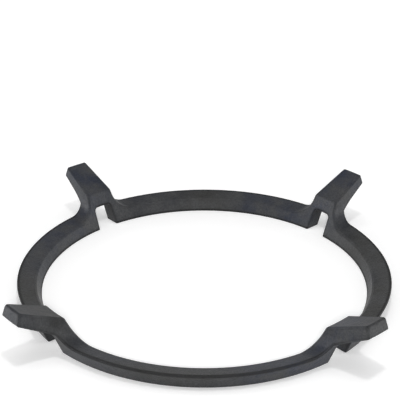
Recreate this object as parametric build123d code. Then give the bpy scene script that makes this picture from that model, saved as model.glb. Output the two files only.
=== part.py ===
from build123d import *
import math
import os

# A cast-iron ring that holds a round-bottomed pan over a gas burner.
# Origin: centre of the ring on its flat underside. +Z up. The claws point along +X, +Y, -X and -Y.
# Sizes in millimetres, angles in degrees.

# Ring: a low band that leans outward, with a top face that dips towards the middle
ring_outer_diameter = 230.0
ring_face_width = 11.6
ring_height = 10.4
face_dip = 12.0
inner_draft = 22.2
outer_draft = 21.7

# Claws: a leg in line with the ring's walls, then an arm whose sloping pad carries the pan
claw_count = 4
pad_reach = 21.0
pad_tip_height = 35.7
ridge_height = 23.1
tip_thickness = 7.3
tip_lean = 18.0
neck_height = 15.7
pad_tip_width = 14.9
ridge_width = 18.8
claw_side_draft = 8.0
flare_radius = 11.0

# Slots for the fingers of the hob's pan support
slot_floor_width = 13.8
slot_top_width = 13.0
slot_height = 14.0
slot_corner_radius = 2.5

# Edges
edge_bevel = 0.9
floor_bevel = 0.5
slot_bevel = 0.5
tip_edge_radius = 1.5
ridge_radius = 2.5
neck_radius = 2.0

# Room that a raw form keeps past the face that trims it
spare = 10.0

# How close a point must come to a line or face to count as lying on it
near = 0.01


def tan(angle):
    return math.tan(math.radians(angle))


def sin(angle):
    return math.sin(math.radians(angle))


def cos(angle):
    return math.cos(math.radians(angle))


top_outer_r = ring_outer_diameter / 2
top_inner_r = top_outer_r - ring_face_width


def face_z(r):
    """Height of the ring's top face, which dips towards the middle."""
    return ring_height + (r - top_outer_r) * tan(face_dip)


inner_height = face_z(top_inner_r)


def outer_r(z):
    """Radius of the outer wall, which the ring and the claw legs share."""
    return top_outer_r + (z - ring_height) * tan(outer_draft)


def inner_r(z):
    """Radius of the inner wall, which the ring and the claw legs share."""
    return top_inner_r + (z - inner_height) * tan(inner_draft)


# The arm: its pad climbs from the ridge, on the inner wall, to the tip
ridge_r = inner_r(ridge_height)
tip_r = top_outer_r + pad_reach
tip_low_r = tip_r + tip_thickness * sin(tip_lean)
tip_low_z = pad_tip_height - tip_thickness * cos(tip_lean)
neck_r = outer_r(neck_height)

claw_pitch = 360 / claw_count
raw_inner_r = inner_r(0) - spare
raw_outer_r = tip_low_r + spare
raw_top_z = pad_tip_height + spare
raw_floor_z = -spare


def claw_share_of_turn(section):
    """A (radius, height) section turned through one claw's share of the ring, centred on +X."""
    return Rot(Z=-claw_pitch / 2) * revolve(Plane.XZ * section, axis=Axis.Z, revolution_arc=claw_pitch)


def claw_profile():
    """Ring, leg and rising arm as a (radius, height) section, with its corners eased."""
    rounded = [
        (neck_r, neck_height, neck_radius),
        (tip_low_r, tip_low_z, tip_edge_radius),
        (tip_r, pad_tip_height, tip_edge_radius),
        (ridge_r, ridge_height, ridge_radius),
    ]
    corners = [(inner_r(0), 0), (outer_r(0), 0)] + [(r, z) for r, z, _ in rounded]
    profile = make_face(Polyline(*corners, close=True))
    for r, z, radius in rounded:
        corner = profile.vertices().sort_by_distance((r, z, 0))[0]
        profile = fillet(corner, radius)
    return profile


def claw_half_width(r, z):
    """Half the claw's width between its drafted sides."""
    at_ridge = ridge_width / 2 + (ridge_height - z) * tan(claw_side_draft)
    at_tip = pad_tip_width / 2 + (pad_tip_height - z) * tan(claw_side_draft)
    return at_ridge + (at_tip - at_ridge) * (r - ridge_r) / (tip_r - ridge_r)


def claw_sides_at(r):
    """The claw's raw outline seen along its arm, at one distance from the middle."""
    low = claw_half_width(r, raw_floor_z)
    high = claw_half_width(r, raw_top_z)
    outline = Polyline(
        (-low, raw_floor_z), (low, raw_floor_z), (high, raw_top_z), (-high, raw_top_z), close=True
    )
    facing_out = Plane(origin=(r, 0, 0), x_dir=(0, 1, 0), z_dir=(1, 0, 0))
    return facing_out * make_face(outline)


def radius_of(point):
    return math.hypot(point.X, point.Y)


def raw_share():
    """Claw sides that flare into the ring's top face, with room past every wall."""
    band_section = make_face(Polyline(
        (raw_inner_r, raw_floor_z),
        (raw_outer_r, raw_floor_z),
        (raw_outer_r, face_z(raw_outer_r)),
        (raw_inner_r, face_z(raw_inner_r)),
        close=True,
    ))
    sides = loft([claw_sides_at(raw_inner_r), claw_sides_at(raw_outer_r)], ruled=True)
    body = claw_share_of_turn(band_section) + sides
    roots = []
    for edge in body.edges():
        middle = edge @ 0.5
        on_face = abs(middle.Z - face_z(radius_of(middle))) < near
        on_side = abs(abs(middle.Y) - claw_half_width(middle.X, middle.Z)) < near
        if on_face and on_side:
            roots.append(edge)
    return fillet(roots, flare_radius)


def slot():
    """The tunnel under one claw, open at the floor, from inside the ring to outside it."""
    half_floor = slot_floor_width / 2
    half_top = slot_top_width / 2
    lean = (half_floor - half_top) / slot_height
    section = make_face(Polyline(
        (-half_floor - lean * spare, raw_floor_z),
        (half_floor + lean * spare, raw_floor_z),
        (half_top, slot_height),
        (-half_top, slot_height),
        close=True,
    ))
    roof_corners = section.vertices().group_by(Axis.Y)[-1]
    section = fillet(roof_corners, slot_corner_radius)
    facing_out = Plane(origin=(raw_inner_r, 0, 0), x_dir=(0, 1, 0), z_dir=(1, 0, 0))
    return extrude(facing_out * section, amount=tip_low_r)


def marks(edge):
    """Both ends of an edge and its middle."""
    return [edge @ 0, edge @ 0.5, edge @ 1]


def on_share_end(points):
    """Whether all points lie on one of the two cuts that part the claws' shares."""
    half_pitch = math.radians(claw_pitch / 2)
    return all(abs(abs(math.atan2(point.Y, point.X)) - half_pitch) < near / top_outer_r for point in points)


def side_edges(body, profile):
    """Edges where the claw's sides and the ring's top face meet the turned walls and the pad."""
    outline = profile.wire()
    found = []
    for edge in body.edges():
        points = marks(edge)
        on_top = all(point.Z > inner_height - near for point in points)
        crosses_claw = points[0].Y * points[2].Y < 0
        on_profile = all(
            outline.distance_to(Vector(radius_of(point), point.Z, 0)) < near for point in points
        )
        if on_top and on_profile and not crosses_claw and not on_share_end(points):
            found.append(edge)
    return found


def mouth_edges(body):
    """Edges round the two mouths of the slot, without those that run through it."""
    found = []
    for edge in body.edges():
        start, middle, end = marks(edge)
        in_slot = abs(middle.Y) < slot_floor_width / 2 + near and middle.Z < slot_height + near
        runs_through = abs(radius_of(start) - radius_of(end)) > ring_face_width / 2
        if in_slot and not runs_through:
            found.append(edge)
    return found


def floor_edges(body):
    """Edges round the underside, without the cuts between shares."""
    found = []
    for edge in body.edges():
        points = marks(edge)
        if all(abs(point.Z) < near for point in points) and not on_share_end(points):
            found.append(edge)
    return found


def claw_share():
    """One claw on +X with its share of the ring, half a pitch to each side."""
    profile = claw_profile()
    body = claw_share_of_turn(profile) & raw_share()
    body = chamfer(side_edges(body, profile), edge_bevel)
    body = body - slot()
    body = chamfer(mouth_edges(body), slot_bevel)
    return chamfer(floor_edges(body), floor_bevel)


share = claw_share()
wok_ring = Part() + [Rot(Z=claw_pitch * i) * share for i in range(claw_count)]

os.makedirs("parts", exist_ok=True)
export_step(wok_ring, "parts/wok_ring.step")
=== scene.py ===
import math

import bpy
from mathutils import Euler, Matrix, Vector

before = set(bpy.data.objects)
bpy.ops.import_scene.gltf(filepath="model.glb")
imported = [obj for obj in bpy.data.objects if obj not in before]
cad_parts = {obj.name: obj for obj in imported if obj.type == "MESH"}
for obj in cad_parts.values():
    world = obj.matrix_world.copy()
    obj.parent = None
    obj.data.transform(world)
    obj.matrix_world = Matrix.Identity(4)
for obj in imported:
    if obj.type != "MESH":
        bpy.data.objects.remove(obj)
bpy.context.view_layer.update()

# Camera: a pinhole fitted to the ring and the claws, in metres, degrees and, for sensor and lens, millimetres
VIEW_AZIMUTH = -41.29
VIEW_ELEVATION = 30.21
VIEW_DISTANCE = 0.6414
AIM_UP = 4.567
AIM_LEFT = 0.238
SENSOR_WIDTH = 36.0
LENS = 92.23

# Floor: its lift is what camera and mirror rays see added, from the near radius out to the far one
FLOOR_SIZE = 6.0
FLOOR_COLOUR = (0.93, 0.93, 0.93, 1.0)
NEAR_RADIUS = 0.3
FAR_RADIUS = 1.2
NEAR_LIFT = 0.22
FAR_LIFT = 0.58

# World: one level up to a low height on the unit sphere of directions, another from a greater height on
WORLD_COLOUR = (1.0, 1.0, 1.0, 1.0)
HORIZON_LEVEL = 1.0
HORIZON_TO = 0.22
ZENITH_LEVEL = 0.36
ZENITH_FROM = 0.6

# Lamps: name, size in metres, power in watts, turn from the camera's side, elevation, distance
LAMPS = [
    ("key", 0.08, 1.5, 8, 74, 0.95),
    ("front", 0.08, 2.2, 1, 29, 0.95),
    ("over", 1.2, 2.8, 0, 88, 1.5),
    ("left", 0.6, 7.5, -95, 8, 1.3),
    ("right", 0.6, 6.5, 95, 8, 1.3),
]

# Iron: colours
IRON_WARM = (0.0240, 0.0240, 0.0222, 1.0)
IRON_BLUE = (0.0205, 0.0255, 0.0420, 1.0)
IRON_LIGHT = (0.0530, 0.0540, 0.0560, 1.0)
# Dark of the grain's pits; also the colour of the painted shade in recesses and at edges
IRON_PIT_AND_PAINTED_SHADE = (0.0030, 0.0030, 0.0032, 1.0)
IRON_IOR = 1.35

# Iron: noises, each as cells per metre, octaves and roughness
CLOUDS = (9.0, 1.0, 0.6)
PATCHES = (70.0, 4.0, 0.6)
DRAW_MARKS = (420.0, 2.0, 0.6)
GRAIN = (950.0, 3.0, 0.7)
SWELL = (260.0, 3.0, 0.55)
CLOUD_SHIFT = (1.2, 0.0, 0.0)
DRAW_SQUEEZE = (1.0, 1.0, 0.08)

# Iron: bumps, each as strength and height in metres
SWELL_BUMP = (0.3, 0.0009)
MARK_BUMP = (0.2, 0.0004)
GRAIN_BUMP = (0.6, 0.00035)

# Iron: ranges, each as low and high of the value read, then the results at low and at high
BLUE_BY_CLOUD = (0.42, 0.58, 0.0, 1.0)
LIGHT_BY_PATCH = (0.35, 0.65, 0.0, 1.0)
LIGHT_BY_MARK = (0.45, 0.75, 0.0, 0.45)
PIT_BY_GRAIN = (0.3, 0.6, 0.5, 0.0)
ROUGHNESS_BY_PATCH = (0.3, 0.7, 0.40, 0.56)
STEEP_BY_RISE = (0.5, 0.85, 1.0, 0.0)
# Painted shade: darker where nearby faces crowd a point
PAINTED_SHADE_BY_OPENNESS = (0.5, 0.95, 1.0, 0.0)
EDGE_BY_OPENNESS = (0.5, 0.92, 1.0, 0.0)

# Iron: how far away faces count for recesses and edges, in metres, and what an edge adds in painted shade and
# in roughness
RECESS_REACH = 0.022
EDGE_REACH = 0.0022
CROWD_SAMPLES = 8
EDGE_PAINTED_SHADE = 0.9
EDGE_ROUGHNESS = 0.25

# Places of the colour sockets on a Mix node
MIX_FACTOR = 0
MIX_FIRST = 6
MIX_SECOND = 7
MIX_RESULT = 2


def add_node(tree, kind, **values):
    """A new shader node with its named inputs and properties set."""
    node = tree.nodes.new(kind)
    for name, value in values.items():
        if name in node.inputs:
            node.inputs[name].default_value = value
        else:
            setattr(node, name, value)
    return node


def new_material(name):
    material = bpy.data.materials.new(name)
    material.use_nodes = True
    material.node_tree.nodes.clear()
    return material, material.node_tree


def combined(tree, operation, first, second, **values):
    """Two number sockets joined by one operation."""
    node = add_node(tree, "ShaderNodeMath", operation=operation, **values)
    tree.links.new(first, node.inputs[0])
    tree.links.new(second, node.inputs[1])
    return node.outputs["Value"]


def moved(tree, operation, vector, amount):
    """A vector socket shifted or stretched by a fixed vector."""
    node = add_node(tree, "ShaderNodeVectorMath", operation=operation)
    tree.links.new(vector, node.inputs[0])
    node.inputs[1].default_value = amount
    return node.outputs["Vector"]


def height_of(tree, vector):
    """The Z part of a vector socket."""
    split = add_node(tree, "ShaderNodeSeparateXYZ")
    tree.links.new(vector, split.inputs["Vector"])
    return split.outputs["Z"]


def noise_fac(tree, vector, scale, detail, roughness):
    """Fractal noise of the object's own coordinates."""
    noise = add_node(tree, "ShaderNodeTexNoise", Scale=scale, Detail=detail, Roughness=roughness)
    tree.links.new(vector, noise.inputs["Vector"])
    return noise.outputs["Fac"]


def spread(tree, value, low, high, to_low, to_high):
    """Map a value's range onto another, clamped at both ends."""
    ramp = add_node(tree, "ShaderNodeMapRange")
    ramp.inputs["From Min"].default_value = low
    ramp.inputs["From Max"].default_value = high
    ramp.inputs["To Min"].default_value = to_low
    ramp.inputs["To Max"].default_value = to_high
    tree.links.new(value, ramp.inputs["Value"])
    return ramp.outputs["Result"]


def share_of(tree, value, most):
    """A value between 0 and 1, scaled to run from 0 to the most."""
    return spread(tree, value, 0.0, 1.0, 0.0, most)


def mixed(tree, factor, first, second):
    """Mix of two colours, each a plain colour or a socket."""
    mix = add_node(tree, "ShaderNodeMix", data_type="RGBA")
    tree.links.new(factor, mix.inputs[MIX_FACTOR])
    for place, colour in ((MIX_FIRST, first), (MIX_SECOND, second)):
        if isinstance(colour, tuple):
            mix.inputs[place].default_value = colour
        else:
            tree.links.new(colour, mix.inputs[place])
    return mix.outputs[MIX_RESULT]


def openness(tree, reach, inside):
    """How free a point is of nearby faces: low in recesses or, measured inside the iron, at edges."""
    crowd = add_node(tree, "ShaderNodeAmbientOcclusion", Distance=reach, inside=inside)
    crowd.only_local = True
    crowd.samples = CROWD_SAMPLES
    return crowd.outputs["AO"]


def bumped(tree, height, strength, distance, normal=None):
    """A normal socket raised by a height, on top of an earlier normal where there is one."""
    bump = add_node(tree, "ShaderNodeBump", Strength=strength, Distance=distance)
    tree.links.new(height, bump.inputs["Height"])
    if normal:
        tree.links.new(normal, bump.inputs["Normal"])
    return bump.outputs["Normal"]


def iron_material():
    """Satin cast iron: sand-cast grain, cloudy tone, draw marks, and painted shade in recesses and at edges.
    """
    material, tree = new_material("cast_iron")
    link = tree.links.new
    output = add_node(tree, "ShaderNodeOutputMaterial")
    shader = add_node(tree, "ShaderNodeBsdfPrincipled", Metallic=0.0, IOR=IRON_IOR)
    place = add_node(tree, "ShaderNodeTexCoord").outputs["Object"]

    clouds = noise_fac(tree, moved(tree, "ADD", place, CLOUD_SHIFT), *CLOUDS)
    patches = noise_fac(tree, place, *PATCHES)
    grain = noise_fac(tree, place, *GRAIN)
    swell = noise_fac(tree, place, *SWELL)

    # Draw marks run upward and show on steep walls only
    streaks = noise_fac(tree, moved(tree, "MULTIPLY", place, DRAW_SQUEEZE), *DRAW_MARKS)
    rise = height_of(tree, add_node(tree, "ShaderNodeNewGeometry").outputs["True Normal"])
    marks = combined(tree, "MULTIPLY", streaks, spread(tree, rise, *STEEP_BY_RISE))

    # Painted shade in recesses: darker where nearby faces crowd a point
    recess = spread(tree, openness(tree, RECESS_REACH, False), *PAINTED_SHADE_BY_OPENNESS)
    # Painted shade at convex edges, measured inside the iron, standing in for the dark shading of rounded
    # edges
    edge = spread(tree, openness(tree, EDGE_REACH, True), *EDGE_BY_OPENNESS)

    colour = mixed(tree, spread(tree, clouds, *BLUE_BY_CLOUD), IRON_WARM, IRON_BLUE)
    colour = mixed(tree, spread(tree, patches, *LIGHT_BY_PATCH), colour, IRON_LIGHT)
    colour = mixed(tree, spread(tree, marks, *LIGHT_BY_MARK), colour, IRON_LIGHT)
    colour = mixed(tree, spread(tree, grain, *PIT_BY_GRAIN), colour, IRON_PIT_AND_PAINTED_SHADE)
    # Painted shade: recesses, then convex edges, darkened towards the pit colour
    colour = mixed(tree, recess, colour, IRON_PIT_AND_PAINTED_SHADE)
    colour = mixed(tree, share_of(tree, edge, EDGE_PAINTED_SHADE), colour, IRON_PIT_AND_PAINTED_SHADE)
    link(colour, shader.inputs["Base Color"])

    patchy = spread(tree, patches, *ROUGHNESS_BY_PATCH)
    worn = share_of(tree, edge, EDGE_ROUGHNESS)
    link(combined(tree, "ADD", patchy, worn, use_clamp=True), shader.inputs["Roughness"])

    normal = bumped(tree, swell, *SWELL_BUMP)
    normal = bumped(tree, marks, *MARK_BUMP, normal)
    normal = bumped(tree, grain, *GRAIN_BUMP, normal)
    link(normal, shader.inputs["Normal"])
    link(shader.outputs["BSDF"], output.inputs["Surface"])
    return material


def floor_material():
    """White floor that keeps shadows; camera and mirror rays see it lifted, more so far away."""
    material, tree = new_material("floor_white")
    link = tree.links.new
    output = add_node(tree, "ShaderNodeOutputMaterial")
    surface = add_node(tree, "ShaderNodeBsdfDiffuse", Color=FLOOR_COLOUR)

    path = add_node(tree, "ShaderNodeLightPath").outputs
    seen = combined(tree, "MAXIMUM", path["Is Camera Ray"], path["Is Glossy Ray"])
    seen = combined(tree, "MAXIMUM", seen, path["Is Transmission Ray"])

    distance = add_node(tree, "ShaderNodeVectorMath", operation="LENGTH")
    link(add_node(tree, "ShaderNodeTexCoord").outputs["Object"], distance.inputs[0])
    level = spread(tree, distance.outputs["Value"], NEAR_RADIUS, FAR_RADIUS, NEAR_LIFT, FAR_LIFT)

    lift = add_node(tree, "ShaderNodeEmission")
    link(combined(tree, "MULTIPLY", seen, level), lift.inputs["Strength"])
    both = add_node(tree, "ShaderNodeAddShader")
    link(surface.outputs["BSDF"], both.inputs[0])
    link(lift.outputs["Emission"], both.inputs[1])
    link(both.outputs["Shader"], output.inputs["Surface"])
    return material


def add_floor():
    half = FLOOR_SIZE / 2
    mesh = bpy.data.meshes.new("floor")
    corners = [(-half, -half, 0), (half, -half, 0), (half, half, 0), (-half, half, 0)]
    mesh.from_pydata(corners, [], [(0, 1, 2, 3)])
    mesh.materials.append(floor_material())
    floor = bpy.data.objects.new("floor", mesh)
    bpy.context.scene.collection.objects.link(floor)


def add_world():
    """Studio walls: brighter towards the horizon than overhead."""
    world = bpy.data.worlds.new("studio")
    world.use_nodes = True
    tree = world.node_tree
    background = tree.nodes["Background"]
    background.inputs["Color"].default_value = WORLD_COLOUR
    height = height_of(tree, add_node(tree, "ShaderNodeTexCoord").outputs["Generated"])
    level = spread(tree, height, HORIZON_TO, ZENITH_FROM, HORIZON_LEVEL, ZENITH_LEVEL)
    tree.links.new(level, background.inputs["Strength"])
    bpy.context.scene.world = world


def direction_from(azimuth, elevation):
    """Unit vector towards a place seen at an azimuth and an elevation, both in degrees."""
    turn = math.radians(azimuth)
    rise = math.radians(elevation)
    return Vector((math.sin(turn) * math.cos(rise), -math.cos(turn) * math.cos(rise), math.sin(rise)))


def add_lamp(name, size, power, turn, elevation, distance):
    """A round area lamp that faces the middle of the ring."""
    data = bpy.data.lights.new(name, "AREA")
    data.shape = "DISK"
    data.size = size
    data.energy = power
    toward = direction_from(VIEW_AZIMUTH + turn, elevation)
    lamp = bpy.data.objects.new(name, data)
    lamp.location = toward * distance
    lamp.rotation_euler = toward.to_track_quat("Z", "Y").to_euler()
    bpy.context.scene.collection.objects.link(lamp)


def add_camera():
    """The photograph's viewpoint: it looks at the ring's middle, then turns up and left by the aim."""
    data = bpy.data.cameras.new("camera")
    data.sensor_width = SENSOR_WIDTH
    data.lens = LENS
    back = direction_from(VIEW_AZIMUTH, VIEW_ELEVATION)
    camera = bpy.data.objects.new("camera", data)
    camera.location = back * VIEW_DISTANCE
    look = back.to_track_quat("Z", "Y")
    turn = Euler((math.radians(AIM_UP), math.radians(AIM_LEFT), 0)).to_quaternion()
    camera.rotation_euler = (look @ turn).to_euler()
    bpy.context.scene.collection.objects.link(camera)
    bpy.context.scene.camera = camera


add_camera()
add_world()
add_floor()
for lamp in LAMPS:
    add_lamp(*lamp)
bpy.context.scene.view_settings.view_transform = "Standard"

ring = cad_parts["wok_ring"]
ring.data.materials.clear()
ring.data.materials.append(iron_material())
